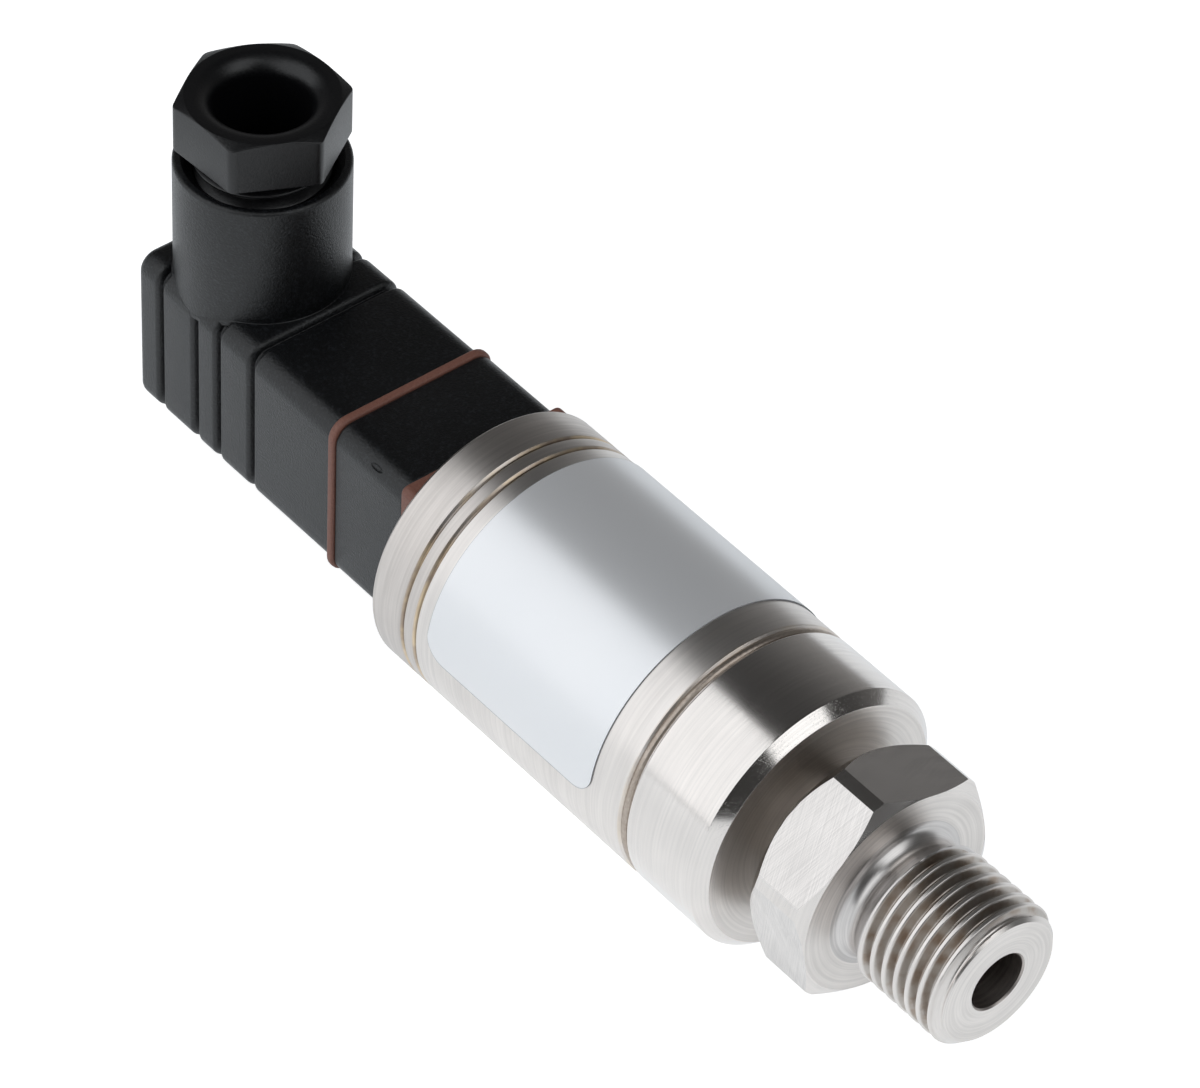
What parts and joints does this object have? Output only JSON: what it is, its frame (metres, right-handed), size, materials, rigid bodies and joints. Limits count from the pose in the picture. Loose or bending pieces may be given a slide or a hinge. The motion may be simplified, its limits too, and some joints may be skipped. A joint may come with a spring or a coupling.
{
  "type": "pressure sensor",
  "caption": "Industrial pressure sensor: stainless body with hexagon and male process thread, sealed square plug base and right-angle cable socket with a hexagon cable gland.",
  "frame": {"origin": "on the sensor axis, at the hexagon's sealing face", "axes": "+X along the axis towards the process thread's end, +Z along the cable gland"},
  "size_m": [0.1019, 0.0252, 0.0397],
  "materials": {
    "stainless": "turned and finely brushed stainless steel",
    "label_film": "satin white film",
    "gauge_wafer": "bonded wafer",
    "gold_wire": "fine bonding wire",
    "moulded_black": "fine-textured moulding",
    "board_laminate": "glass laminate with solder mask",
    "chip_resin": "moulded chip",
    "capacitor_ceramic": "ceramic",
    "wire_insulation": "wire insulation",
    "silicone_seal": "red-brown silicone",
    "contact_metal": "plated contact metal",
    "screw_steel": "zinc-plated steel",
    "insert_resin": "moulded insert",
    "gland_rubber": "soft black rubber",
    "slip_resin": "slip washer moulding"
  },
  "bodies": {
    "sensor_body": {"pressure_port": "stainless", "housing_sleeve": "stainless", "joint_ring": "stainless", "end_cap": "stainless", "type_label": "label_film", "sensing_cell": "stainless", "strain_gauge": "gauge_wafer", "gauge_leads": "gold_wire", "board_carrier": "moulded_black", "signal_board": "board_laminate", "amplifier_chip": "chip_resin", "board_capacitors": "capacitor_ceramic", "pin_leads": "wire_insulation", "base_gasket": "silicone_seal", "plug_base": "moulded_black", "earth_blade": "contact_metal", "contact_blades": "contact_metal", "screw_insert": "contact_metal", "base_screws": "screw_steel", "interface_gasket": "silicone_seal"},
    "cable_socket": {"socket_housing": "moulded_black", "terminal_insert": "insert_resin", "contact_sockets": "contact_metal", "terminal_screws": "screw_steel", "gland_seal": "gland_rubber"},
    "screw_seal": {"screw_washer": "silicone_seal"},
    "fixing_screw": {"fixing_screw": "screw_steel"},
    "gland_slip": {"slip_washer": "slip_resin"},
    "gland_screw": {"gland_screw": "moulded_black"}
  },
  "joints": [
    {"name": "socket_unplug", "type": "slide", "parent": "sensor_body", "child": "cable_socket", "axis": [-1, 0, 0], "range_m": [0, 0.014]},
    {"name": "fixing_screw_lift", "type": "slide", "parent": "cable_socket", "child": "screw_seal", "axis": [-1, 0, 0], "range_m": [0, 0.00405]},
    {"name": "fixing_screw_turn", "type": "hinge", "parent": "screw_seal", "child": "fixing_screw", "pos_m": [-0.088, 0, 0], "axis": [-1, 0, 0], "range_deg": [0, 3240]},
    {"name": "gland_lift", "type": "slide", "parent": "cable_socket", "child": "gland_slip", "axis": [0, 0, 1], "range_m": [0, 0.006]},
    {"name": "gland_screw_turn", "type": "hinge", "parent": "gland_slip", "child": "gland_screw", "pos_m": [-0.0822, 0, 0.022], "axis": [0, 0, 1], "range_deg": [0, 1440]}
  ],
  "couplings": [
    {"joint": "fixing_screw_turn", "follows": "fixing_screw_lift", "rad_per_m": 13963},
    {"joint": "gland_screw_turn", "follows": "gland_lift", "rad_per_m": 4188.7}
  ]
}
